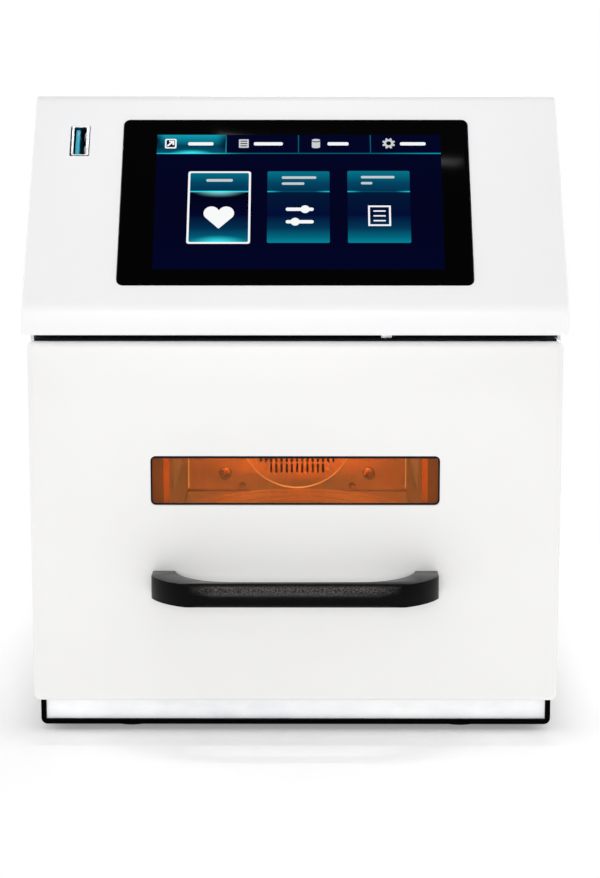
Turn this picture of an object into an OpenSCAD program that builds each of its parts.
// Dental lab light curing unit: a pull-out drawer with a window, handle and turntable,
// a lit chamber behind it and a sloped head with a touch display.
// Millimetres. X runs to the right, Y to the rear and Z up; the feet stand on z = 0.

/* [Overall] */
// Width of the head and of the casing behind the drawer
case_w = 205; // [196:1:260]
// Depth from the head's front band to the rear face
case_d = 250; // [225:1:330]
// Height of the rubber feet
foot_h = 2.5; // [2:0.5:6]
// Height of the drawer front
door_h = 139.5; // [132:0.1:175]
// Length of the sloped face along the slope
slope_len = 97.5; // [92:0.5:130]
// Lean of the sloped face, in degrees from upright
slope_angle = 36.3; // [32:0.1:44]

/* [Casing] */
// Thickness of the painted cover sheet
cover_t = 1.2; // [1:0.1:2]
// Height of the upright band along the head's lower edge
band_h = 10.3; // [8:0.1:14]
// How far the head stands out over the drawer front
head_overhang = 3.5; // [1.5:0.1:5]
// Dark gap between the drawer front and the head
head_gap = 2.8; // [2.8:0.1:5]
// Radius of the bend between band and slope
bend_r = 8; // [4:0.5:9]
// Radius of the bend between slope and roof
roof_r = 5; // [3:0.5:7]
// Outer radius of the folds along the cover's side edges
fold_r = 3; // [2:0.1:4]
// Thickness of the rear panel
rear_t = 1.2; // [1:0.1:2]
// Width of the cover's folded rear lip
lip_w = 12; // [10:0.5:14]
// Length of a vent slot in the cover's sides
vent_len = 60; // [40:1:64]
// Number of vent slots in each side
vent_count = 7; // [4:1:8]

/* [Base pan] */
// Thickness of the pan's sheet
pan_t = 1.9; // [1.5:0.1:2.5]
// Distance of the pan's front edge behind the drawer face
pan_set = 22.7; // [21.8:0.1:26]
// Height of the open plinth below the drawer front
plinth_h = 15.9; // [15:0.1:22]
// Height of the pan's side walls
pan_wall_h = 36; // [32:0.5:38]
// Diameter of a foot
foot_d = 18; // [14:0.5:22]
// Sideways distance of the feet from the middle
foot_x = 66; // [50:1:76]
// Distance of the front feet behind the pan's front edge
foot_in = 15.5; // [13:0.5:30]

/* [Front plate] */
// Thickness of the bare metal front plate
plate_t = 1.5; // [1.2:0.1:2]
// Depth of the front plate behind the pan's edge
plate_recess = 1.5; // [1:0.1:2.5]

/* [Drawer front] */
// How much narrower than the head the drawer front is, on each side
door_reveal = 1.35; // [1:0.05:3]
// Depth of the drawer front with its folded edges
door_d = 20; // [18:0.1:20.5]
// Thickness of the drawer front's sheet
door_t = 1.2; // [1:0.1:2]
// Bend radius along the drawer front's edges
door_r = 2.5; // [2.2:0.1:4]
// Travel of the drawer
drawer_travel = 120; // [80:1:120]

/* [Window] */
// Width of the amber window
window_w = 110; // [80:1:114]
// Height of the amber window
window_h = 19; // [14:0.5:24]
// Height of the window's middle above the pan's underside
window_up = 102.4; // [96:0.1:106]
// Corner radius of the window
window_r = 2; // [1:0.1:4]
// Thickness of the amber pane
pane_t = 3; // [2:0.1:4]
// Width by which the pane overlaps the opening
pane_lip = 4; // [3:0.1:5]
// Thickness of the black gasket
gasket_t = 0.8; // [0.5:0.1:1.2]

/* [Handle] */
// Overall width of the bow handle
handle_w = 108.8; // [104:0.1:118]
// Height of the handle bar
handle_h = 8.7; // [7.5:0.1:12]
// How far the handle stands out from the drawer face
handle_out = 26.7; // [25:0.1:32]
// Thickness of the bar from front to back
bar_t = 7.4; // [6.5:0.1:9]
// Height of the handle's middle above the pan's underside
handle_up = 63.1; // [58:0.1:72]
// Radius of the outer sweep at each end
sweep_out_r = 27.8; // [26.8:0.1:30]
// Radius of the inner sweep at each end
sweep_in_r = 22.1; // [21:0.1:23]
// Straight length of the bar's front
bar_flat = 57; // [50:0.5:62]

/* [Chamber] */
// Inner width of the curing chamber
chamber_w = 99; // [94:0.5:110]
// Depth of the curing chamber
chamber_d = 124.3; // [122:0.1:130]
// Height of the chamber above the drawer's floor
chamber_h = 78; // [74:0.5:79]
// Height of the drawer's floor above the pan's underside
floor_up = 71.4; // [68:0.1:74]
// Thickness of the reflector sheet
chamber_t = 1.2; // [1:0.1:1.6]
// Radius of the round grille in the back wall
grille_r = 26.4; // [24:0.1:28]
// Height of the grille's middle above the pan's underside
grille_up = 98.7; // [95:0.1:103]

/* [Turntable] */
// Radius of the turntable
table_r = 45; // [38:0.5:46]
// Thickness of the turntable
table_t = 2.5; // [2:0.1:3]
// Radius of the drive shaft
shaft_r = 3; // [2.5:0.1:4]
// Radius of the gear motor
motor_r = 24.5; // [20:0.5:26]
// Height of the gear motor
motor_h = 19; // [16:0.5:21]

/* [Light engines] */
// Width of a light board
board_u = 50; // [44:1:52]
// Length of a light board
board_v = 76; // [66:1:80]
// Rows of emitters on a board
led_rows = 3; // [2:1:4]
// Emitters in a row
led_cols = 5; // [3:1:6]
// Height of the heat sink's fins
fin_h = 14; // [8:0.5:15]
// Number of fins on a heat sink
fin_count = 9; // [6:1:11]

/* [Display] */
// Width of the black touch glass
glass_w = 134.2; // [120:0.1:140]
// Height of the black touch glass
glass_h = 75.7; // [68:0.1:77]
// Thickness of the touch glass
glass_t = 1.8; // [1.6:0.1:2.5]
// Height of the glass above the bend, along the slope
glass_up = 10.1; // [9.5:0.1:11]
// How far the glass stands proud of the slope
glass_proud = 0.6; // [0.3:0.1:1]
// Width of the lit screen
screen_w = 110.4; // [98:0.1:112]
// Height of the lit screen
screen_h = 62.1; // [54:0.1:62.5]
// Sideways distance of the data port from the middle
port_x = 84.2; // [82:0.1:88]
// Height of the data port above the bend, along the slope
port_up = 76; // [60:0.1:80]

/* [Fans] */
// Side of a cooling fan's square frame
fan_size = 60; // [56:1:62]
// Depth of a cooling fan
fan_d = 15; // [12:0.5:16]
// Number of blades on a fan
blade_count = 7; // [5:1:9]
// Height of the rear fan's middle below the roof
fan_drop = 78; // [70:1:82]

/* [Power inlet] */
// Width of the inlet module's body
inlet_w = 27; // [27:0.5:30]
// Height of the inlet module's body
inlet_h = 47; // [47:0.5:52]
// Sideways distance of the inlet from the middle
inlet_x = 68; // [60:1:72]
// Height of the inlet's middle above the pan's underside
inlet_up = 48; // [44:1:60]

/* [Slides] */
// Closed length of a drawer slide
slide_len = 130; // [126:1:132]
// Height of a slide's outer member
slide_h = 27; // [26:0.5:28]
// Thickness of a whole slide
slide_t = 10; // [9.6:0.1:10.5]
// Distance of the slides' near faces from the middle
slide_x = 78; // [78:0.5:80]

/* [Hidden] */
$fn = 64;

// Clearances
run_gap = 0.3;      // between pieces that move past each other
bore_gap = 0.05;    // round a turning shaft or a screw
fit_gap = 0.1;      // round a piece that is set into another
eps = 0.5;          // how far a cut runs past the face it opens

// Levels
z_pan = foot_h;
z_in = z_pan + pan_t;
z_door = z_pan + plinth_h;
z_door_top = z_door + door_h;
z_head = z_door_top + head_gap;
z_bend = z_head + band_h;
slope_rise = slope_len * cos(slope_angle);
slope_run = slope_len * sin(slope_angle);
z_top = z_bend + slope_rise;
z_floor = z_pan + floor_up;
z_window = z_pan + window_up;
z_handle = z_pan + handle_up;
z_grille = z_pan + grille_up;
z_inlet = z_pan + inlet_up;
z_fan = z_top - fan_drop;

// Depths, counted from the drawer face
y_head = -head_overhang;
y_rear = case_d - head_overhang;
y_panel = y_rear - rear_t;
y_plate = pan_set + plate_recess;
y_chamber = y_plate + plate_t;
y_back = y_chamber + chamber_d;
y_table = y_chamber + chamber_d / 2;
rear_proud = 4;     // how far the fuse drawer's lip stands behind the rear panel

// Half widths
x_in = case_w / 2 - cover_t;
x_pan_in = x_in - pan_t;
x_door = case_w / 2 - door_reveal;

// Screws
m3_r = 1.5;
m3_head_r = 2.85;
m3_head_h = 1.6;
m4_r = 2;
m4_head_r = 3.5;
m4_head_h = 2.4;

// Puts the drawer-face frame so that the object's box is centred on Y
module place() {
    translate([0, (handle_out - y_rear - rear_proud) / 2, 0]) children();
}

// Outlines on the XZ plane, given depth towards the rear
module to_rear(d) {
    translate([0, d, 0]) rotate([90, 0, 0]) linear_extrude(d) children();
}

// Outlines on the YZ plane, given width about the middle
module along_x(w) {
    rotate([90, 0, 90]) linear_extrude(w, center = true) children();
}

// Frame of the sloped face: X across, Y up the slope, Z out of it
module on_slope() {
    translate([0, y_head, z_bend]) rotate([90 - slope_angle, 0, 0]) children();
}

// Both sides, the second mirrored
module both_sides() {
    children();
    mirror([1, 0, 0]) children();
}

module round_rect(w, h, r) {
    square([w - 2 * r, h], center = true);
    square([w, h - 2 * r], center = true);
    for (x = [-1, 1], y = [-1, 1])
        translate([x * (w / 2 - r), y * (h / 2 - r)]) circle(r);
}

module box(x0, x1, y0, y1, z0, z1) {
    translate([x0, y0, z0]) cube([x1 - x0, y1 - y0, z1 - z0]);
}

// Cylinder along Y from y0 towards the rear
module rod_y(r, y0, len) {
    translate([0, y0, 0]) rotate([-90, 0, 0]) cylinder(h = len, r = r);
}

function unit(v) = v / norm(v);
function left_of(a, b) = let (u = unit(b - a)) [-u[1], u[0]];

// Outline drawn in by t; the points run anticlockwise
function inset(pts, t) = let (n = len(pts)) [
    for (i = [0:n - 1])
        let (a = left_of(pts[(i + n - 1) % n], pts[i]), b = left_of(pts[i], pts[(i + 1) % n]))
        pts[i] + (a + b) * t / (1 + a * b)
];

// Arc that rounds the corner q of an outline
function fillet(p, q, s, r, steps = 6) =
    let (a = unit(p - q), b = unit(s - q), half = acos(a * b) / 2,
         c = q + unit(a + b) * r / sin(half),
         v0 = q + a * r / tan(half) - c, v1 = q + b * r / tan(half) - c,
         a0 = atan2(v0[1], v0[0]), turn = atan2(v0[0] * v1[1] - v0[1] * v1[0], v0 * v1))
    [for (i = [0:steps]) c + r * [cos(a0 + turn * i / steps), sin(a0 + turn * i / steps)]];

// Outline with a radius at each corner, where 0 leaves it sharp
function rounded(pts, radii) = let (n = len(pts)) [
    for (i = [0:n - 1])
        each radii[i] == 0 ? [pts[i]]
            : fillet(pts[(i + n - 1) % n], pts[i], pts[(i + 1) % n], radii[i])
];

// Vertical slots in two rows inside a circle
module slot_grille(r, slot, bar, cross) {
    intersection() {
        circle(r);
        for (x = [0:slot + bar:r]) for (side = x == 0 ? [1] : [-1, 1])
            translate([side * x, 0])
                for (half = [-1, 1])
                    translate([0, half * (r / 2 + cross / 2)]) square([slot, r], center = true);
    }
}

// Screw along +Z from its head's underside at z = 0, the head below it
module screw(r, head_r, head_h, len) {
    translate([0, 0, -head_h]) cylinder(h = head_h, r = head_r);
    cylinder(h = len, r = r);
}

// Route with each corner cut at a quarter of its runs; its ends stay
function cut_corners(pts) = let (n = len(pts)) [
    pts[0],
    for (i = [0:n - 2]) each [0.75 * pts[i] + 0.25 * pts[i + 1], 0.25 * pts[i] + 0.75 * pts[i + 1]],
    pts[n - 1]
];

wire_sides = 8;

// A wire: one closed tube whose rings are carried along the route without twist
module lead(route, r) {
    pts = cut_corners(cut_corners(route));
    n = len(pts);
    dirs = [for (i = [0:n - 1]) unit(pts[min(i + 1, n - 1)] - pts[max(i - 1, 0)])];
    first = unit(cross(dirs[0], [0.3, 0.2, 1]));
    sides = [for (i = 0, u = first; i < n; i = i + 1,
                  u = i < n ? unit(u - (u * dirs[i]) * dirs[i]) : u) u];
    rings = [for (i = [0:n - 1], k = [0:wire_sides - 1])
        let (a = 360 * k / wire_sides)
        pts[i] + r * (cos(a) * sides[i] + sin(a) * cross(dirs[i], sides[i]))];
    walls = [for (i = [0:n - 2], k = [0:wire_sides - 1])
        let (a = i * wire_sides + k, b = i * wire_sides + (k + 1) % wire_sides)
        each [[a, a + wire_sides, b], [b, a + wire_sides, b + wire_sides]]];
    ends = [for (k = [1:wire_sides - 2])
        let (z = (n - 1) * wire_sides) each [[0, k, k + 1], [z, z + k + 1, z + k]]];
    polyhedron(rings, concat(walls, ends));
}

// BASE

pan_r = 2.5;
pan_pts = rounded([[-x_in, z_pan], [x_in, z_pan], [x_in, z_pan + pan_wall_h],
                   [-x_in, z_pan + pan_wall_h]], [pan_r, pan_r, 0, 0]);
foot_ys = [pan_set + foot_in, y_panel - foot_in];
foot_hole_r = m4_r + bore_gap;
stud_h = 5;
pan_lip_h = 12;
vent_slot = 3;

supply_w = 129;
supply_l = 98;
supply_h = 30;
supply_x = -20;
supply_y = y_chamber + 62;
driver_w = 104;
driver_l = 58;
driver_x = -38;
driver_y = y_panel - 40;
z_stud = z_in + stud_h;

module supply_corners() {
    for (x = [-1, 1], y = [-1, 1])
        translate([supply_x + x * (supply_w / 2 - 8), supply_y + y * (supply_l / 2 - 8), 0])
            children();
}

module driver_corners() {
    for (x = [-1, 1], y = [-1, 1])
        translate([driver_x + x * (driver_w / 2 - 5), driver_y + y * (driver_l / 2 - 5), 0])
            children();
}

module base_pan() color([0.06, 0.06, 0.065]) {
    difference() {
        union() {
            difference() {
                translate([0, pan_set, 0]) to_rear(y_panel - pan_set) polygon(pan_pts);
                box(-x_pan_in, x_pan_in, pan_set - eps, y_panel + eps, z_in,
                    z_pan + pan_wall_h + eps);
            }
            box(-x_pan_in, x_pan_in, y_panel - pan_t, y_panel, z_in, z_in + pan_lip_h);
            supply_corners() translate([0, 0, z_in]) cylinder(h = stud_h, r = 3);
            driver_corners() translate([0, 0, z_in]) cylinder(h = stud_h, r = 3);
        }
        for (x = [-foot_x, foot_x], y = foot_ys)
            translate([x, y, z_pan - eps]) cylinder(h = pan_t + 2 * eps, r = foot_hole_r);
        for (i = [0:8])
            translate([supply_x - 40 + 10 * i, supply_y, z_pan + pan_t / 2])
                cube([vent_slot, 50, 2 * pan_t], center = true);
        for (x = pan_screw_xs)
            translate([x, 0, z_in + pan_lip_h / 2]) rod_y(m3_r + bore_gap, y_panel - 2 * pan_t,
                                                        3 * pan_t);
        for (y = side_screw_ys, side = [-1, 1])
            translate([side * (x_in - 2 * pan_t), y, z_side_screw]) rotate([0, side * 90, 0])
                cylinder(h = 3 * pan_t, r = m3_r + bore_gap);
    }
}

foot_recess_r = m4_head_r + 1;

module rubber_feet() color([0.09, 0.09, 0.09])
    for (x = [-foot_x, foot_x], y = foot_ys)
        translate([x, y, 0]) difference() {
            cylinder(h = foot_h, r1 = foot_d / 2 - 0.6, r2 = foot_d / 2);
            translate([0, 0, -eps]) cylinder(h = foot_h + 2 * eps, r = foot_hole_r);
            translate([0, 0, -eps]) cylinder(h = foot_h - 1 + eps, r = foot_recess_r);
        }

// CASING

side_pts = rounded([[y_head, z_head], [pan_set, z_head], [pan_set, z_door], [y_rear, z_door],
                    [y_rear, z_top], [y_head + slope_run, z_top], [y_head, z_bend]],
                   [1.5, 0, 0, 0, 0, roof_r, bend_r]);
glass_v = glass_up + glass_h / 2;
glass_r = 2.6;
port_w = 7.1;
port_h = 13.7;
pan_screw_xs = [-70, 0, 30];
rear_screw_zs = [z_door + 60, (z_door + z_top) / 2 + 30, z_top - 22];
side_screw_ys = [pan_set + 30, y_panel - 30];
z_side_screw = z_door + 8;
csk_r = 2.75;
csk_h = 1.25;

module side_screw_places() {
    for (y = side_screw_ys, side = [-1, 1])
        translate([side * case_w / 2, y, z_side_screw]) rotate([0, -side * 90, 0]) children();
}

module rear_screw_places() {
    for (z = rear_screw_zs, side = [-1, 1])
        translate([side * (x_in - lip_w / 2), y_rear, z]) rotate([90, 0, 0]) children();
    for (x = pan_screw_xs)
        translate([x, y_rear, z_in + pan_lip_h / 2]) rotate([90, 0, 0]) children();
}

// Cross-section of the cover's sheet with its two folds, the sheet's outer face on y = 0
module fold_section(t, depth) {
    half = case_w / 2 - t;
    r = fold_r - t;
    translate([-half, -depth]) square([2 * half, depth - t - r]);
    translate([-half + r, -depth]) square([2 * (half - r), depth - t]);
    for (side = [-1, 1]) translate([side * (half - r), -t - r]) circle(r);
}

// All that lies inside the folds along roof, slope, band and underside, drawn in by t
module inside_folds(t) {
    deep = case_d + slope_len;
    y_relief = pan_set - eps / 2;
    intersection() {
        translate([0, y_head - eps, z_top]) to_rear(deep) fold_section(t, deep);
        on_slope() translate([0, -deep / 2, 0]) to_rear(2 * deep) fold_section(t, deep);
        translate([0, y_head, 0]) linear_extrude(deep) mirror([0, 1]) fold_section(t, deep);
        union() {
            translate([0, y_head - eps, z_head]) to_rear(y_relief - y_head + eps)
                mirror([0, 1]) fold_section(t, deep);
            box(-case_w, case_w, y_relief, deep, 0, deep);
        }
    }
}

module cover() color([0.95, 0.95, 0.955]) {
    difference() {
        union() {
            difference() {
                intersection() {
                    along_x(case_w) polygon(side_pts);
                    inside_folds(0);
                }
                intersection() {
                    along_x(2 * x_in) {
                        polygon(inset(side_pts, cover_t));
                        translate([pan_set - eps, z_door - eps])
                            square([y_rear - pan_set + 2 * eps, z_head - z_door + eps]);
                        translate([y_panel - 2 * cover_t, z_door])
                            square([3 * cover_t + rear_t, z_top - cover_t - z_door]);
                    }
                    inside_folds(cover_t);
                }
            }
            translate([0, y_panel - cover_t, 0]) to_rear(cover_t) difference() {
                translate([-x_in, z_door + pan_wall_h])
                    square([2 * x_in, z_top - cover_t - z_door - pan_wall_h]);
                translate([-x_in + lip_w, z_door - eps])
                    square([2 * (x_in - lip_w), z_top - cover_t - lip_w - z_door + eps]);
            }
        }
        on_slope() translate([0, glass_v, -2 * cover_t]) linear_extrude(4 * cover_t)
            round_rect(glass_w + 2 * run_gap, glass_h + 2 * run_gap, glass_r);
        on_slope() translate([-port_x, port_up, -2 * cover_t]) linear_extrude(4 * cover_t)
            square([port_w + 2 * fit_gap, port_h + 2 * fit_gap], center = true);
        for (i = [0:vent_count - 1], side = [-1, 1])
            translate([side * case_w / 2, y_rear - vent_len / 2 - 24, z_bend - 4 - 9 * i])
                cube([4 * cover_t, vent_len, vent_slot], center = true);
        side_screw_places() {
            translate([0, 0, -eps]) cylinder(h = cover_t + 2 * eps, r = m3_r + bore_gap);
            translate([0, 0, -0.01]) cylinder(h = csk_h, r1 = csk_r, r2 = m3_r);
        }
        rear_screw_places() translate([0, 0, rear_t / 2])
            cylinder(h = 2 * cover_t + rear_t, r = m3_r + bore_gap);
    }
}

rear_vent_w = 34;

module rear_panel() color([0.9, 0.9, 0.9]) {
    difference() {
        translate([0, y_panel, 0]) to_rear(rear_t) difference() {
            translate([0, z_top]) intersection() {
                fold_section(cover_t + fit_gap, z_top);
                translate([-case_w, z_pan - z_top]) square([2 * case_w, z_top]);
            }
            translate([0, z_fan]) slot_grille(fan_bore_r - 1, 3, 3, 5);
            translate([-inlet_x, z_inlet]) square([inlet_w + 2 * fit_gap, inlet_h + 2 * fit_gap],
                                                  center = true);
            for (i = [0:5], side = [-1, 1])
                translate([side * 58, z_fan - 20 + 8 * i])
                    square([rear_vent_w, vent_slot], center = true);
            for (x = fan_holes, z = fan_holes)
                translate([x, z_fan + z]) circle(m3_r + bore_gap);
        }
        rear_screw_places() translate([0, 0, -eps])
            cylinder(h = rear_t + 2 * eps, r = m3_r + bore_gap);
    }
}

module case_screws() color([0.75, 0.75, 0.77]) {
    for (x = [-foot_x, foot_x], y = foot_ys)
        translate([x, y, foot_h - 1]) screw(m4_r, m4_head_r, foot_h - 1 - 0.3, 1 + pan_t + 4);
    side_screw_places() {
        cylinder(h = csk_h - 0.02, r1 = csk_r - 0.05, r2 = m3_r - 0.02);
        cylinder(h = cover_t + pan_t + 2, r = m3_r - 0.02);
    }
    rear_screw_places() screw(m3_r, m3_head_r, m3_head_h, rear_t + pan_t + 3);
    for (x = fan_holes, z = fan_holes) {
        translate([x, y_rear, z_fan + z]) rotate([90, 0, 0])
            screw(m3_r, m3_head_r, m3_head_h, rear_t + 8);
        translate([x, y_back + chamber_t + fan_d, z_grille + z]) rotate([90, 0, 0])
            screw(m3_r, m3_head_r, m3_head_h, fan_d + chamber_t / 2);
    }
}

// FRONT PLATE AND CHAMBER

tray_gap = 0.8;
z_walls = z_floor + tray_gap;
z_ceiling = z_floor + chamber_h;
tray_t = 1.5;
z_slide = z_floor - tray_t - slide_h / 2 - 2;
flange_w = 14;
x_wall = chamber_w / 2 + chamber_t;
flange_screw_x = x_wall + flange_w - 4;
flange_screw_zs = [z_walls + 8, z_ceiling - 8];
mouth_x = slide_x + slide_t + 1.5;
plate_up = 4;

module front_plate() color([0.83, 0.84, 0.86]) {
    difference() {
        translate([0, y_plate, 0]) to_rear(plate_t) difference() {
            translate([-x_pan_in + fit_gap, z_in])
                square([2 * (x_pan_in - fit_gap), z_head - plate_up - z_in]);
            translate([-chamber_w / 2, z_floor]) square([chamber_w, z_ceiling - z_floor]);
            translate([-mouth_x, z_slide - slide_h / 2 - 2])
                square([2 * mouth_x, z_walls - z_slide + slide_h / 2 + 2]);
        }
        for (side = [-1, 1], z = flange_screw_zs)
            translate([side * flange_screw_x, 0, z])
                rod_y(m3_r + bore_gap, y_plate - eps, plate_t + 2 * eps);
    }
}

module led_opening() {
    translate([0, 0, -2 * chamber_t]) linear_extrude(4 * chamber_t)
        square([board_u - 6, board_v - 6], center = true);
}

module on_walls() {
    for (side = [-1, 1])
        translate([side * x_wall, y_table, (z_walls + z_ceiling) / 2]) rotate([0, side * 90, 0])
            children();
    on_ceiling() children();
}

module on_left() {
    translate([-x_wall, y_table, (z_walls + z_ceiling) / 2]) rotate([0, -90, 0]) children();
}

module on_right() {
    translate([x_wall, y_table, (z_walls + z_ceiling) / 2]) rotate([0, 90, 0]) children();
}

module on_ceiling() {
    translate([0, y_table, z_ceiling + chamber_t]) children();
}

module chamber_walls() color([0.88, 0.88, 0.9]) {
    difference() {
        translate([0, y_chamber, 0]) {
            to_rear(chamber_d) difference() {
                translate([-x_wall, z_walls])
                    square([2 * x_wall, z_ceiling + chamber_t - z_walls]);
                translate([-chamber_w / 2, z_walls - eps])
                    square([chamber_w, z_ceiling - z_walls + eps]);
            }
            to_rear(chamber_t) difference() {
                translate([-x_wall - flange_w, z_walls])
                    square([2 * (x_wall + flange_w), z_ceiling + chamber_t - z_walls]);
                translate([-chamber_w / 2, z_walls - eps])
                    square([chamber_w, z_ceiling - z_walls + eps]);
            }
        }
        on_walls() led_opening();
        for (side = [-1, 1], z = flange_screw_zs)
            translate([side * flange_screw_x, 0, z])
                rod_y(m3_r + bore_gap, y_chamber - eps, chamber_t + 2 * eps);
    }
}

back_w = 124;
back_screw_x = 32.5;
back_screw_zs = [z_pan + 79.5, z_ceiling - 12];
fan_bore_r = fan_size / 2 - 1.5;
fan_hole = fan_size / 2 - 5;
fan_holes = [-fan_hole, fan_hole];
socket_w = 24;
socket_h = 10;
socket_z = z_floor - 14;

module back_screw_places() {
    for (side = [-1, 1], z = back_screw_zs)
        translate([side * back_screw_x, y_back, z]) rotate([-90, 0, 0]) children();
}

module chamber_back() color([0.86, 0.86, 0.88]) {
    difference() {
        union() {
            translate([0, y_back, 0]) to_rear(chamber_t) difference() {
                translate([-back_w / 2, z_in]) square([back_w, z_ceiling + chamber_t - z_in]);
                translate([0, z_grille]) circle(grille_r - 2);
                translate([0, socket_z])
                    square([socket_w + 2 * fit_gap, socket_h + 2 * fit_gap], center = true);
                for (x = fan_holes, z = fan_holes)
                    translate([x, z_grille + z]) circle(m3_r + bore_gap);
            }
            box(-back_w / 2, back_w / 2, y_back, y_back + 12, z_in, z_in + chamber_t);
        }
        back_screw_places() translate([0, 0, -eps])
            cylinder(h = chamber_t + 2 * eps, r = m3_r + bore_gap);
    }
}

module chamber_grille() color([0.8, 0.8, 0.82])
    translate([0, y_back - 1.6, z_grille]) {
        to_rear(1.6) difference() {
            circle(grille_r);
            circle(grille_r - 2.4);
        }
        translate([0, 0.8, 0]) to_rear(0.8) difference() {
            circle(grille_r - 2);
            slot_grille(grille_r - 3.4, 1.7, 1.5, 4);
        }
    }

module chamber_screws() color([0.8, 0.8, 0.82]) {
    back_screw_places() screw(m3_r, m3_head_r, 1.65, chamber_t + 4);
    for (side = [-1, 1], z = flange_screw_zs)
        translate([side * flange_screw_x, y_plate, z]) rotate([-90, 0, 0])
            screw(m3_r, m3_head_r, m3_head_h, plate_t + chamber_t + 3);
}

// LIGHT ENGINES, each drawn outwards from the reflector's outer face

pane_in = 2;
led_gap = 6;
pcb_t = 1.6;
sink_base = 4;
sink_u = board_u + 14;
sink_v = board_v + 14;
led_pitch_u = (board_u - 12) / (led_rows - 1);
led_pitch_v = (board_v - 12) / (led_cols - 1);
fin_pitch = (sink_u - 1.5) / (fin_count - 1);

module light_windows() color([0.8, 0.85, 0.95, 0.4])
    on_walls() linear_extrude(pane_in) square([board_u - 1, board_v - 1], center = true);

module led_board_at() {
    translate([0, 0, led_gap]) linear_extrude(pcb_t) square([board_u, board_v], center = true);
    translate([0, -board_v / 2 + 1.6, led_gap - 2]) linear_extrude(2)
        square([8, 3], center = true);
}

module led_board_left() color([0.93, 0.93, 0.93]) on_left() led_board_at();
module led_board_right() color([0.93, 0.93, 0.93]) on_right() led_board_at();
module led_board_top() color([0.93, 0.93, 0.93]) on_ceiling() led_board_at();

module led_emitters() color([0.95, 0.85, 0.35])
    on_walls()
        for (i = [0:led_rows - 1], j = [0:led_cols - 1])
            translate([(i - (led_rows - 1) / 2) * led_pitch_u,
                       (j - (led_cols - 1) / 2) * led_pitch_v, led_gap])
                rotate([180, 0, 0]) {
                    translate([-1.75, -1.75, 0]) cube([3.5, 3.5, 0.8]);
                    translate([0, 0, 0.4]) intersection() {
                        sphere(1.5);
                        translate([-2, -2, 0]) cube([4, 4, 2]);
                    }
                }

module heat_sink_at() {
    translate([0, 0, led_gap + pcb_t]) {
        linear_extrude(sink_base) square([sink_u, sink_v], center = true);
        for (i = [0:fin_count - 1])
            translate([-sink_u / 2 + i * fin_pitch, -sink_v / 2, sink_base - 0.01])
                cube([1.5, sink_v, fin_h]);
    }
    for (u = [-1, 1], v = [-1, 1])
        translate([u * (sink_u / 2 - 3), v * (sink_v / 2 - 3), 0])
            cylinder(h = led_gap + pcb_t + 0.01, r = 2.5);
}

module heat_sink_left() color([0.62, 0.63, 0.65]) on_left() heat_sink_at();
module heat_sink_right() color([0.62, 0.63, 0.65]) on_right() heat_sink_at();
module heat_sink_top() color([0.62, 0.63, 0.65]) on_ceiling() heat_sink_at();

// DISPLAY AND CONTROLS

module_w = screen_w + 10;
module_h = screen_h + 8;
module_t = 4;
screen_dx = 1.25;
bracket_w = glass_w + 16;
bracket_h = glass_h + 4;
bracket_t = 1.5;
boss_x = glass_w / 2 + 4;
n_glass = glass_proud - glass_t;
n_bracket = n_glass - module_t;
board_drop = 7;

module bracket_corners() {
    for (x = [-1, 1], y = [-1, 1])
        translate([x * boss_x, glass_v + y * (bracket_h / 2 - 6), 0]) children();
}

module board_corners() {
    for (x = [-1, 1], y = [-1, 1])
        translate([x * 50, glass_v + y * 28, 0]) children();
}

module display_glass() color([0.01, 0.01, 0.015])
    on_slope() translate([0, glass_v, n_glass]) linear_extrude(glass_t)
        round_rect(glass_w, glass_h, glass_r - run_gap);

module display_module() color([0.02, 0.05, 0.16])
    on_slope() translate([screen_dx, glass_v, n_bracket]) linear_extrude(module_t)
        round_rect(module_w, module_h, 1);

module display_bracket() color([0.7, 0.71, 0.73])
    on_slope() {
        translate([0, glass_v, n_bracket - bracket_t]) linear_extrude(bracket_t)
            round_rect(bracket_w, bracket_h, 3);
        bracket_corners() translate([0, 0, n_bracket - 0.01])
            cylinder(h = -cover_t - n_bracket + 0.01, r = 2.8);
        board_corners() translate([0, 0, n_bracket - bracket_t - board_drop])
            cylinder(h = board_drop + 0.01, r = 2.5);
    }

module control_board() color([0.05, 0.32, 0.16])
    on_slope() translate([0, glass_v, n_bracket - bracket_t - board_drop - pcb_t]) {
        linear_extrude(pcb_t) square([112, 64], center = true);
        translate([-10, 4, -1.4]) linear_extrude(1.41) square([16, 16], center = true);
        translate([24, 10, -1]) linear_extrude(1.01) square([10, 6], center = true);
        translate([-40, -18, -6]) linear_extrude(6.01) square([12, 8], center = true);
        translate([30, -20, -8]) cylinder(h = 8.01, r = 5);
        translate([0, 28, -3]) linear_extrude(3.01) square([30, 4], center = true);
    }

port_depth = 14;

module usb_shell() color([0.85, 0.85, 0.87])
    on_slope() translate([-port_x, port_up, 0]) difference() {
        union() {
            translate([0, 0, -cover_t]) linear_extrude(cover_t + 0.2)
                square([port_w, port_h], center = true);
            translate([0, 0, -port_depth]) linear_extrude(port_depth)
                square([port_w - 1, port_h - 0.6], center = true);
            translate([0, 0, -port_depth - pcb_t]) linear_extrude(pcb_t)
                square([port_w + 8, port_h + 6], center = true);
        }
        translate([0, 0, -port_depth + 0.4]) linear_extrude(port_depth + 1)
            square([port_w - 2, port_h - 1.3], center = true);
    }

module usb_tongue() color([0.1, 0.35, 0.75])
    on_slope() translate([-port_x - port_w / 2 + 1 + 0.7, port_up, -port_depth + 0.4])
        linear_extrude(port_depth - 1.6) square([1.4, port_h - 2.2], center = true);

module door_sensor() color([0.1, 0.1, 0.11])
    box(magnet_x - 7, magnet_x + 7, 5, 15, z_head + cover_t, z_head + cover_t + 6);

// FANS, drawn along Y from their rear face at y = 0 to the front

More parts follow.
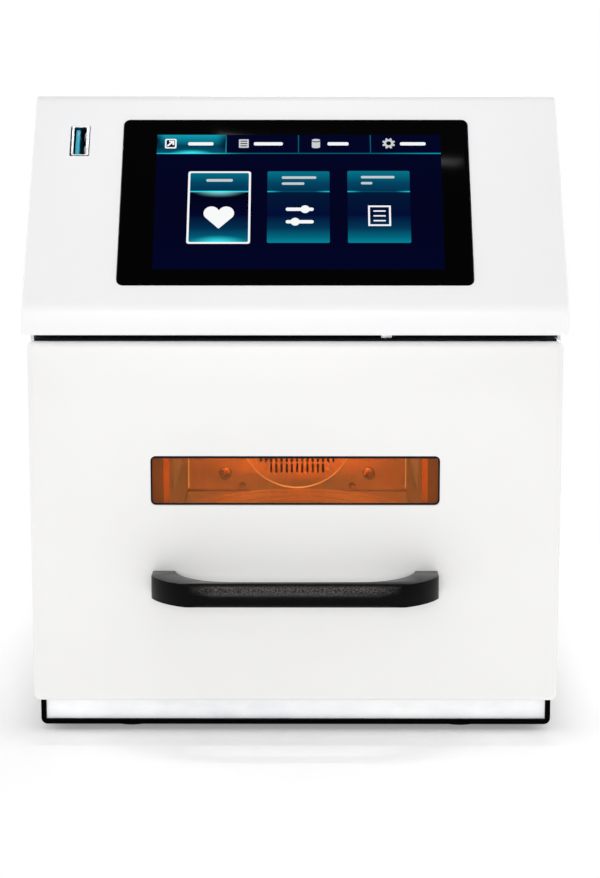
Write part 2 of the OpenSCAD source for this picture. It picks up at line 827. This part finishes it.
module fan_frame_at() {
    difference() {
        translate([0, -fan_d, 0]) to_rear(fan_d) difference() {
            round_rect(fan_size, fan_size, 3);
            circle(fan_bore_r);
            for (x = fan_holes, z = fan_holes) translate([x, z]) circle(m3_r + bore_gap);
        }
    }
    difference() {
        union() {
            rod_y(hub_r - 1, -2, 2);
            for (a = [0:90:270]) rotate([0, a + 20, 0])
                box(0, fan_bore_r + 0.4, -1.8, 0, -1.6, 1.6);
        }
        rod_y(pin_r + bore_gap, -2 - eps, 2 + 2 * eps);
    }
}

hub_r = 14;
pin_r = 1.5;
blade_w = 10;

module fan_rotor_at() {
    rod_y(hub_r, -fan_d + 0.6, fan_d - 3);
    rod_y(pin_r, -3, 2.6);
    intersection() {
        rod_y(fan_bore_r - 0.7, -fan_d + 1, fan_d - 4);
        for (i = [0:blade_count - 1])
            rotate([0, i * 360 / blade_count, 0])
                translate([hub_r - 1, -fan_d / 2 - 1, 0]) rotate([38, 0, 0])
                    translate([0, -0.6, -blade_w / 2]) cube([fan_bore_r - hub_r, 1.2, blade_w]);
    }
}

module rear_fan_frame() color([0.12, 0.12, 0.13]) translate([0, y_panel, z_fan]) fan_frame_at();
module rear_fan_rotor() color([0.16, 0.16, 0.17]) translate([0, y_panel, z_fan]) fan_rotor_at();
module chamber_fan_frame() color([0.12, 0.12, 0.13])
    translate([0, y_back + chamber_t + fan_d, z_grille]) fan_frame_at();
module chamber_fan_rotor() color([0.16, 0.16, 0.17])
    translate([0, y_back + chamber_t + fan_d, z_grille]) fan_rotor_at();

// POWER

module power_supply() color([0.72, 0.73, 0.74])
    translate([supply_x, supply_y, z_stud]) difference() {
        translate([-supply_w / 2, -supply_l / 2, 0]) cube([supply_w, supply_l, supply_h]);
        translate([-supply_w / 2 + 1, -supply_l / 2 - eps, 1])
            cube([supply_w - 2, supply_l - 1 + eps, supply_h - 2]);
        for (i = [0:11], j = [0:6])
            translate([-supply_w / 2 + 10 + 9.8 * i, -supply_l / 2 + 22 + 9.8 * j, supply_h - 2])
                cylinder(h = 3, r = 2.2, $fn = 24);
    }

module supply_board() color([0.3, 0.24, 0.12])
    translate([supply_x, supply_y, z_stud + 1]) {
        translate([-supply_w / 2 + 2, -supply_l / 2 + 1, 3])
            cube([supply_w - 4, supply_l - 4, pcb_t]);
        translate([0, 0, 0])
            for (x = [-1, 1], y = [-1, 1])
                translate([x * (supply_w / 2 - 8), y * (supply_l / 2 - 8), 0])
                    cylinder(h = 3.01, r = 2.5);
        translate([-15, -12, 3]) cube([30, 26, 22]);
        for (x = [-42, 36]) translate([x, 10, 3]) cylinder(h = 24, r = 9);
        translate([-60, -45, 3]) cube([64, 10, 14]);
    }

module driver_board() color([0.05, 0.3, 0.15])
    translate([driver_x, driver_y, z_stud]) {
        translate([-driver_w / 2, -driver_l / 2, 0]) cube([driver_w, driver_l, pcb_t]);
        for (i = [0:3]) translate([-39 + 26 * i, 6, pcb_t - 0.01]) {
            cylinder(h = 9, r = 7);
            translate([-5, -22, 0]) cube([10, 9, 5]);
        }
        translate([-45, 20, pcb_t - 0.01]) cube([90, 6, 8]);
    }

inlet_depth = 30;
inlet_flange_t = 2;
socket_up = -9;
cavity_w = 22;
cavity_h = 15.5;
rocker_up = 16;
rocker_w = 17;
rocker_l = 11.5;
rocker_in = 5;
rocker_pin = 1.5;
rocker_pin_r = 1.2;
fuse_up = 3.6;
fuse_w = 22;
fuse_h = 6;
fuse_len = 22;

module inlet_frame() {
    translate([-inlet_x, y_rear, z_inlet]) children();
}

module power_inlet() color([0.07, 0.07, 0.075])
    inlet_frame() difference() {
        union() {
            translate([0, -inlet_depth, 0]) to_rear(inlet_depth + 0.01)
                square([inlet_w, inlet_h], center = true);
            to_rear(inlet_flange_t) round_rect(inlet_w + 4, inlet_h + 5, 2);
        }
        translate([0, -16, socket_up]) to_rear(16 + inlet_flange_t + eps)
            polygon([[-cavity_w / 2, -cavity_h / 2], [cavity_w / 2, -cavity_h / 2],
                     [cavity_w / 2, cavity_h / 2 - 4], [cavity_w / 2 - 4, cavity_h / 2],
                     [-cavity_w / 2 + 4, cavity_h / 2], [-cavity_w / 2, cavity_h / 2 - 4]]);
        translate([0, -fuse_len, fuse_up]) to_rear(fuse_len + inlet_flange_t + eps)
            square([fuse_w + 2 * run_gap, fuse_h + 2 * run_gap], center = true);
        translate([0, -14, rocker_up]) to_rear(14 + inlet_flange_t + eps)
            square([rocker_w + 2 * run_gap, rocker_l + 2 * run_gap], center = true);
        translate([0, -rocker_in, rocker_up]) rotate([0, 90, 0])
            cylinder(h = rocker_w + 2 * rocker_pin + 1, r = rocker_pin_r + bore_gap, center = true);
        blades(bore_gap, eps);
    }

blade_t = 2;
blade_h = 4;
blade_spacing = 7;
blade_zs = [socket_up - 1.5, socket_up + 4, socket_up - 1.5];
tail_len = 8;
tail_w = 6;
tail_t = 0.8;

// The three flat pins, from the housing's back to just inside its mouth
module blades(gap = 0, past = 0) {
    for (i = [0:2])
        translate([(i - 1) * blade_spacing - blade_t / 2 - gap, -inlet_depth - past,
                   blade_zs[i] - blade_h / 2 - gap])
            cube([blade_t + 2 * gap, inlet_depth + past - 2, blade_h + 2 * gap]);
}

module inlet_pins() color([0.8, 0.78, 0.7])
    inlet_frame() {
        blades();
        for (i = [0:2])
            translate([(i - 1) * blade_spacing - tail_w / 2, -inlet_depth - tail_len,
                       blade_zs[i] - tail_t / 2])
                cube([tail_w, tail_len, tail_t]);
    }

module fuse_drawer() color([0.12, 0.12, 0.13])
    inlet_frame() difference() {
        union() {
            box(-fuse_w / 2, fuse_w / 2, -fuse_len + run_gap, inlet_flange_t,
                fuse_up - fuse_h / 2, fuse_up + fuse_h / 2);
            box(-5, 5, inlet_flange_t - 0.01, rear_proud, fuse_up - 1, fuse_up + 1);
        }
        for (x = [-5.5, 5.5])
            box(x - 3, x + 3, -fuse_len + 2, -1, fuse_up - fuse_h / 2 + 0.8,
                fuse_up + fuse_h / 2 + eps);
    }

fuse_tube_r = 2.5;

module fuses() color([0.85, 0.87, 0.88])
    inlet_frame() for (x = [-5.5, 5.5])
        translate([x, 0, fuse_up - fuse_h / 2 + 0.8 + fuse_tube_r])
            rod_y(fuse_tube_r, -fuse_len + 2, fuse_len - 3);

rocker_tilt = 8;

// The rocker is a dished wedge on a round back, tilted towards off, on a pin at each side
module power_rocker() color([0.1, 0.1, 0.1])
    inlet_frame() translate([0, -rocker_in, rocker_up]) rotate([rocker_tilt, 0, 0]) {
        along_x(rocker_w) {
            intersection() {
                translate([-3.5, 0]) circle(5.4);
                translate([-9, -5.4]) square([8, 10.8]);
            }
            polygon([[-2, -5.2], [5.6, -5.2], [5, 0], [5.6, 5.2], [-2, 5.2]]);
        }
        rotate([0, 90, 0])
            cylinder(h = rocker_w + 2 * rocker_pin, r = rocker_pin_r, center = true);
    }

// DRAWER SLIDES, drawn on the right side in their own cross-section

sheet = 1.2;
ball_r = 0.95;
lip_in = 2.5;
outer_half = slide_h / 2;
middle_half = outer_half - sheet - 2;
inner_half = middle_half - sheet - 2;
slide_y = y_chamber + 1;
bracket_sheet = 1.5;

// A channel with its web towards +X when face is 1 and towards -X when it is -1
module channel(x0, x1, half, face) {
    web = face > 0 ? x1 - sheet : x0;
    translate([web, -half]) square([sheet, 2 * half]);
    for (z = [-half, half - sheet]) translate([x0, z]) square([x1 - x0, sheet]);
}

module slide_outer_at() {
    translate([0, slide_y, z_slide]) to_rear(slide_len)
        channel(slide_x + lip_in, slide_x + slide_t, outer_half, 1);
}

module slide_middle_at() {
    translate([0, slide_y, z_slide]) to_rear(slide_len - 4)
        channel(slide_x + lip_in, slide_x + slide_t - sheet - 0.7, middle_half, 1);
}

module slide_inner_at() {
    translate([0, slide_y, z_slide]) to_rear(slide_len - 8)
        channel(slide_x, slide_x + slide_t - 2 * sheet - 1.6, inner_half, -1);
}

// A strip that holds a row of balls in the gap just outside a member of the given half height
module cage_at(half, y0, len, count) {
    for (s = [-1, 1])
        translate([slide_x + lip_in + 1.6, y0, z_slide + s * (half + 1)]) {
            translate([-1.2, 0, -0.4]) cube([2.4, len, 0.8]);
            for (i = [0:count - 1])
                translate([0, 3 + i * (len - 6) / (count - 1), 0]) sphere(ball_r, $fn = 32);
        }
}

cage_len = 46;

module slide_outers() color([0.7, 0.71, 0.74]) both_sides() slide_outer_at();
module slide_middle_left() color([0.68, 0.69, 0.72]) mirror([1, 0, 0]) slide_middle_at();
module slide_middle_right() color([0.68, 0.69, 0.72]) slide_middle_at();
inner_screw_ys = [slide_y + 12, slide_y + slide_len - 24];

module slide_inners() color([0.7, 0.71, 0.74])
    both_sides() difference() {
        slide_inner_at();
        for (y = inner_screw_ys)
            translate([slide_x - eps, y, z_slide]) rotate([0, 90, 0])
                cylinder(h = sheet + 2 * eps, r = m3_r + bore_gap);
    }

module ball_cages_outer() color([0.6, 0.62, 0.66])
    both_sides() cage_at(middle_half, slide_y + slide_len - cage_len - 8, cage_len, 7);

module ball_cages_inner() color([0.6, 0.62, 0.66])
    both_sides() cage_at(inner_half, slide_y + 40, cage_len, 7);

module slide_brackets() color([0.74, 0.75, 0.76])
    both_sides() {
        box(slide_x + slide_t, slide_x + slide_t + bracket_sheet, slide_y, slide_y + slide_len,
            z_in, z_slide + outer_half);
        box(slide_x + slide_t, x_pan_in - 2, slide_y, slide_y + slide_len, z_in,
            z_in + bracket_sheet);
    }

catch_x = 85;
catch_z = z_door_top - 19;

module catch_magnets() color([0.75, 0.75, 0.77])
    both_sides() translate([catch_x, 0, catch_z])
        rod_y(6, door_d + run_gap, y_plate - door_d - run_gap);

// DRAWER

magnet_x = 34.7;
x_ret = x_door - door_t;
stud_r = 3;
liner_screw_x = x_door - 11;
liner_screw_zs = [z_door + 11, z_door_top - 11];
handle_screw_x = handle_w / 2 - 4.3;
tunnel_t = 1.2;
tunnel_w = window_w + 2 * pane_lip;
tunnel_h = window_h + 2 * pane_lip;

// A block with soft front edges and corners, its front face on y = 0
module soft_block(w, d, h, r, corner) {
    intersection() {
        to_rear(d) round_rect(w, h, corner);
        translate([0, 0, -h / 2]) linear_extrude(h) front_soft(w, d, r);
        along_x(w) rotate([0, 0, -90]) front_soft(h, d, r);
    }
}

// Outline across X, its two corners at y = 0 rounded
module front_soft(w, d, r) {
    translate([-w / 2, r]) square([w, d - r]);
    translate([-w / 2 + r, 0]) square([w - 2 * r, d]);
    for (x = [-1, 1]) translate([x * (w / 2 - r), r]) circle(r);
}

module door_front() color([0.94, 0.94, 0.935])
    difference() {
        union() {
            difference() {
                translate([0, 0, (z_door + z_door_top) / 2])
                    soft_block(2 * x_door, door_d, door_h, door_r, 2);
                box(-x_ret, x_ret, door_t, door_d + eps, z_door + door_t, z_door_top - door_t);
            }
            for (x = [-liner_screw_x, liner_screw_x], z = liner_screw_zs)
                translate([x, 0, z]) rod_y(stud_r, door_t - 0.01, door_d - 2 * door_t);
        }
        translate([0, -eps, z_window]) to_rear(door_t + 2 * eps)
            round_rect(window_w, window_h, window_r);
        for (x = [-handle_screw_x, handle_screw_x])
            translate([x, 0, z_handle]) rod_y(m4_r + bore_gap, -eps, door_t + 2 * eps);
        for (x = [-liner_screw_x, liner_screw_x], z = liner_screw_zs)
            translate([x, 0, z]) rod_y(m3_r + bore_gap, door_d - door_t - 9, 10);
    }

module tray_screw_places() {
    for (x = [-60, -20, 20, 60])
        translate([x, door_d + tray_t, z_slide]) rotate([90, 0, 0]) children();
}

module door_liner() color([0.82, 0.83, 0.84])
    difference() {
        union() {
            translate([0, door_d - door_t, 0]) to_rear(door_t) difference() {
                translate([-x_ret + fit_gap, z_door + door_t + fit_gap])
                    square([2 * (x_ret - fit_gap), door_h - 2 * (door_t + fit_gap)]);
                translate([0, z_window]) square([tunnel_w, tunnel_h], center = true);
            }
            translate([0, door_t + gasket_t + pane_t, z_window])
                to_rear(door_d - door_t - gasket_t - pane_t) difference() {
                    square([tunnel_w + 2 * tunnel_t, tunnel_h + 2 * tunnel_t], center = true);
                    square([tunnel_w - 2 * tunnel_t, tunnel_h - 2 * tunnel_t], center = true);
                }
        }
        for (x = [-liner_screw_x, liner_screw_x], z = liner_screw_zs)
            translate([x, 0, z]) rod_y(m3_r + bore_gap, door_d - door_t - eps, door_t + 2 * eps);
        tray_screw_places() translate([0, 0, tray_t - eps])
            cylinder(h = door_t + 2 * eps, r = m3_r + bore_gap);
    }

module window_pane() color([0.75, 0.36, 0.1, 0.6])
    translate([0, door_t + gasket_t, z_window]) to_rear(pane_t)
        round_rect(tunnel_w - fit_gap, tunnel_h - fit_gap, window_r);

module window_gasket() color([0.03, 0.03, 0.03])
    translate([0, door_t, z_window]) to_rear(gasket_t) difference() {
        round_rect(tunnel_w - fit_gap, tunnel_h - fit_gap, window_r);
        round_rect(window_w - 1.2, window_h - 1.2, window_r - 0.6);
    }

// Plan of the bow handle: wide outer sweeps, tighter inner sweeps and straight legs
module bow_plan() {
    out_c = [bar_flat / 2, -handle_out + sweep_out_r];
    in_x = bar_flat / 2 - 4.5;
    in_c = [in_x, -handle_out + bar_t + sweep_in_r];
    difference() {
        intersection() {
            translate([-handle_w / 2, -handle_out]) square([handle_w, handle_out]);
            union() {
                translate([-out_c[0], -handle_out]) square([2 * out_c[0], handle_out]);
                for (side = [-1, 1]) translate([side * out_c[0], out_c[1]]) circle(sweep_out_r);
            }
        }
        translate([-in_x, -handle_out + bar_t]) square([2 * in_x, handle_out]);
        for (side = [-1, 1]) translate([side * in_x, in_c[1]]) circle(sweep_in_r);
    }
}

module handle() color([0.08, 0.08, 0.09])
    translate([0, 0, z_handle]) difference() {
        intersection() {
            translate([0, 0, -handle_h / 2]) linear_extrude(handle_h) bow_plan();
            along_x(handle_w) union() {
                translate([-handle_out + 3, -handle_h / 2]) square([handle_out, handle_h]);
                translate([-handle_out, -handle_h / 2 + 1.5]) square([4, handle_h - 4.5]);
                translate([-handle_out + 3, handle_h / 2 - 3]) circle(3);
                translate([-handle_out + 1.5, -handle_h / 2 + 1.5]) circle(1.5);
                translate([-handle_out + 1.5, -handle_h / 2]) square([4, 3]);
            }
        }
        for (x = [-handle_screw_x, handle_screw_x])
            translate([x, 0, 0]) rod_y(m4_r + bore_gap, -8.5, 10);
    }

module drawer_tray() color([0.86, 0.87, 0.88])
    difference() {
        union() {
            box(-slide_x, slide_x, door_d, y_back - 1.5, z_floor - tray_t, z_floor);
            for (side = [-1, 1])
                translate([side * (slide_x - tray_t / 2), (door_d + y_back - 1.5) / 2,
                           (z_floor + z_slide - 9) / 2])
                    cube([tray_t, y_back - 1.5 - door_d, z_floor - z_slide + 9], center = true);
            box(-slide_x + tray_t, slide_x - tray_t, door_d, door_d + tray_t, z_slide - 9,
                z_floor - 0.01);
            box(-40, 40, y_back - 1.5 - tray_t, y_back - 1.5, socket_z - 8, z_floor - 0.01);
        }
        translate([0, y_table, z_floor - tray_t - eps])
            cylinder(h = tray_t + 2 * eps, r = shaft_r + 1);
        for (side = [-1, 1])
            translate([side * ear_x, y_table, z_floor - tray_t - eps])
                cylinder(h = tray_t + 2 * eps, r = m3_r + bore_gap);
        tray_screw_places() translate([0, 0, -eps])
            cylinder(h = tray_t + 2 * eps, r = m3_r + bore_gap);
        translate([0, y_back - 1.5 - tray_t / 2, socket_z])
            cube([socket_w - 4 + 2 * fit_gap, 2 * tray_t, socket_h - 4 + 2 * fit_gap],
                 center = true);
        for (y = inner_screw_ys, side = [-1, 1])
            translate([side * (slide_x - 3), y, z_slide]) rotate([0, side * 90, 0])
                cylinder(h = 4, r = m3_r + bore_gap);
    }

ear_x = motor_r + 5;
z_motor = z_floor - tray_t - motor_h;

module turntable_motor() color([0.6, 0.61, 0.63])
    translate([0, y_table, z_motor]) difference() {
        union() {
            cylinder(h = motor_h, r = motor_r);
            translate([-ear_x - 4, -5, motor_h - 1]) cube([2 * ear_x + 8, 10, 1]);
        }
        translate([0, 0, motor_h - 13]) cylinder(h = 14, r = shaft_r + bore_gap);
        for (side = [-1, 1])
            translate([side * ear_x, 0, motor_h - 2]) cylinder(h = 3, r = m3_r + bore_gap);
    }

z_table = z_floor + 1.5;

module turntable_hub() color([0.75, 0.75, 0.77])
    translate([0, y_table, 0]) {
        translate([0, 0, z_floor - tray_t - 12.5])
            cylinder(h = z_table + table_t - 0.6 - (z_floor - tray_t - 12.5), r = shaft_r);
        translate([0, 0, z_table - 1]) cylinder(h = 1, r = 9);
    }

module turntable() color([0.9, 0.91, 0.92])
    translate([0, y_table, z_table]) difference() {
        cylinder(h = table_t, r = table_r);
        translate([0, 0, -eps]) cylinder(h = table_t + 2 * eps, r = shaft_r + bore_gap);
        for (r = [15, 27, 39])
            translate([0, 0, table_t - 0.3]) difference() {
                cylinder(h = 1, r = r + 0.5);
                translate([0, 0, -0.1]) cylinder(h = 1.2, r = r);
            }
    }

module drawer_screws() color([0.75, 0.75, 0.77]) {
    for (x = [-handle_screw_x, handle_screw_x])
        translate([x, door_t, z_handle]) rotate([90, 0, 0])
            screw(m4_r, m4_head_r, m4_head_h, door_t + 7);
    for (x = [-liner_screw_x, liner_screw_x], z = liner_screw_zs)
        translate([x, door_d, z]) rotate([90, 0, 0])
            screw(m3_r, m3_head_r, m3_head_h, door_t + 6);
    tray_screw_places() screw(m3_r, m3_head_r, m3_head_h, tray_t + door_t + 3);
    for (side = [-1, 1]) {
        translate([side * ear_x, y_table, z_floor - tray_t - 1])
            screw(m3_r, m3_head_r, m3_head_h, 1 + tray_t - 0.2);
        for (y = inner_screw_ys)
            translate([side * (slide_x - tray_t), y, z_slide]) rotate([0, side * 90, 0])
                screw(m3_r, m3_head_r, m3_head_h, tray_t + sheet - 0.1);
    }
}

seal_t = 0.8;
seal_w = 5;

module drawer_seals() color([0.02, 0.02, 0.022]) {
    difference() {
        box(-x_door + 2.6, x_door - 2.6, door_r + 0.5, door_d - 1, z_door_top,
            z_door_top + seal_t);
        translate([magnet_x, 10, z_door_top]) cube([5, 5, 4], center = true);
    }
    translate([0, door_d, 0]) to_rear(y_plate - door_d - run_gap) difference() {
        translate([-x_wall - 1 - seal_w, z_walls + 4])
            square([2 * (x_wall + 1 + seal_w), z_ceiling + 7 - z_walls - 4]);
        translate([-x_wall - 1, z_walls]) square([2 * (x_wall + 1), z_ceiling + 2 - z_walls]);
    }
}

module sensor_magnet() color([0.85, 0.85, 0.86])
    translate([magnet_x - 2, 8, z_door_top]) cube([4, 4, 1.8]);

pin_xs = [-7.5, -2.5, 2.5, 7.5];

module drawer_socket() color([0.85, 0.84, 0.78])
    difference() {
        translate([0, y_back, socket_z]) to_rear(13) square([socket_w, socket_h], center = true);
        for (x = pin_xs)
            translate([x, 0, socket_z]) rod_y(0.9, y_back - eps, 9);
    }

module drawer_plug() color([0.85, 0.84, 0.78]) {
    translate([0, y_back - 1.5 - tray_t - 6, socket_z]) to_rear(6)
        square([socket_w, socket_h], center = true);
    translate([0, y_back - 1.5 - tray_t - 0.01, socket_z]) to_rear(tray_t + 0.8)
        square([socket_w - 4, socket_h - 4], center = true);
    for (x = pin_xs) translate([x, 0, socket_z]) rod_y(0.6, y_back - 0.8, 7.5);
    for (x = [-2, 2])
        translate([x, 0, 0])
            lead([[0, y_table + motor_r + 0.2, socket_z], [0, y_back - 20, socket_z],
                  [0, y_back - 1.5 - tray_t - 5.9, socket_z]], 0.9);
}

// WIRING that stays with the casing

function slope_at(x, v, n) = [x, y_head + v * sin(slope_angle) - n * cos(slope_angle),
                              z_bend + v * cos(slope_angle) + n * sin(slope_angle)];
n_board = n_bracket - bracket_t - board_drop - pcb_t;
y_terminal = driver_y + 23;
z_terminal = z_stud + pcb_t + 8.3;
mains_x = -70;
function side_end(side) = driver_x + 12 + 18 * side;
sink_rise = led_gap + pcb_t + sink_base + fin_h;
z_over = z_ceiling + chamber_t + sink_rise + 6;

module wiring() color([0.15, 0.15, 0.17]) {
    for (i = [-1, 1])
        lead([[-inlet_x + blade_spacing * i, y_rear - inlet_depth - tail_len - 0.1,
               z_inlet + blade_zs[0]],
              [-inlet_x + blade_spacing * i, y_rear - inlet_depth - tail_len - 14,
               z_inlet + blade_zs[0]],
              [mains_x + 3 * i, y_back + 30, z_stud + 20],
              [mains_x + 3 * i, y_back + 10, z_stud + 14],
              [mains_x + 3 * i, supply_y + supply_l / 2 + 8, z_stud + 12],
              [mains_x + 3 * i, supply_y + supply_l / 2 + 0.2, z_stud + 12]], 1.3);
    for (side = [-1, 1])
        lead([[side * (x_wall + led_gap - 1), y_table - board_v / 2 - 0.1, z_ceiling - 38],
              [side * (x_wall + led_gap - 1), y_table - sink_v / 2 - 6, z_ceiling - 38],
              [side * (x_wall + sink_rise + 6), y_table - sink_v / 2 - 7, z_ceiling - 38],
              [side * (x_wall + sink_rise + 7), y_table, z_ceiling - 38],
              [side * (x_wall + sink_rise + 7), y_back + 10, z_ceiling - 46],
              [side * 62, y_back + 22, z_stud + 60],
              [side_end(side), y_terminal - 24, z_terminal + 16],
              [side_end(side), y_terminal, z_terminal + 10],
              [side_end(side), y_terminal, z_terminal]], 1.2);
    lead([[0, y_table - board_v / 2 - 0.1, z_ceiling + chamber_t + led_gap - 1],
          [0, y_table - sink_v / 2 - 7, z_ceiling + chamber_t + led_gap - 1],
          [0, y_table - sink_v / 2 - 10, z_over], [sink_u / 2 + 6, y_table, z_over],
          [sink_u / 2 + 2, y_back, z_over - 10], [-20, y_back + 40, z_stud + 80],
          [driver_x + 10, y_terminal, z_terminal + 14], [driver_x + 10, y_terminal, z_terminal]],
         1.2);
    lead([slope_at(-56.1, glass_v + 20, n_board + pcb_t / 2),
          slope_at(-66, glass_v + 20, n_board + pcb_t / 2),
          slope_at(-port_x, port_up, -port_depth - 10),
          slope_at(-port_x, port_up, -port_depth - pcb_t - 0.05)], 1.2);
    lead([slope_at(10, glass_v + 28, n_board - 3.05), slope_at(10, glass_v + 28, n_board - 14),
          [30, y_table - 8, z_over + 16], [44, y_back + 20, z_over + 4],
          [44, y_panel - 30, z_grille + 30], [10, y_terminal, z_terminal + 24],
          [driver_x + 42, y_terminal, z_terminal]], 1.4);
}

place() base_pan();
place() rubber_feet();
place() front_plate();
place() cover();
place() rear_panel();
place() case_screws();
place() display_glass();
place() display_module();
place() display_bracket();
place() control_board();
place() usb_shell();
place() usb_tongue();
place() chamber_walls();
place() chamber_back();
place() chamber_grille();
place() chamber_screws();
place() light_windows();
place() led_board_left();
place() led_board_right();
place() led_board_top();
place() led_emitters();
place() heat_sink_left();
place() heat_sink_right();
place() heat_sink_top();
place() power_supply();
place() supply_board();
place() driver_board();
place() power_inlet();
place() inlet_pins();
place() fuse_drawer();
place() fuses();
place() power_rocker();
place() rear_fan_frame();
place() rear_fan_rotor();
place() chamber_fan_frame();
place() chamber_fan_rotor();
place() slide_brackets();
place() slide_outers();
place() slide_middle_left();
place() slide_middle_right();
place() slide_inners();
place() ball_cages_outer();
place() ball_cages_inner();
place() catch_magnets();
place() door_sensor();
place() drawer_socket();
place() wiring();
place() door_front();
place() door_liner();
place() window_pane();
place() window_gasket();
place() handle();
place() drawer_screws();
place() drawer_tray();
place() turntable_motor();
place() turntable_hub();
place() turntable();
place() drawer_seals();
place() sensor_magnet();
place() drawer_plug();
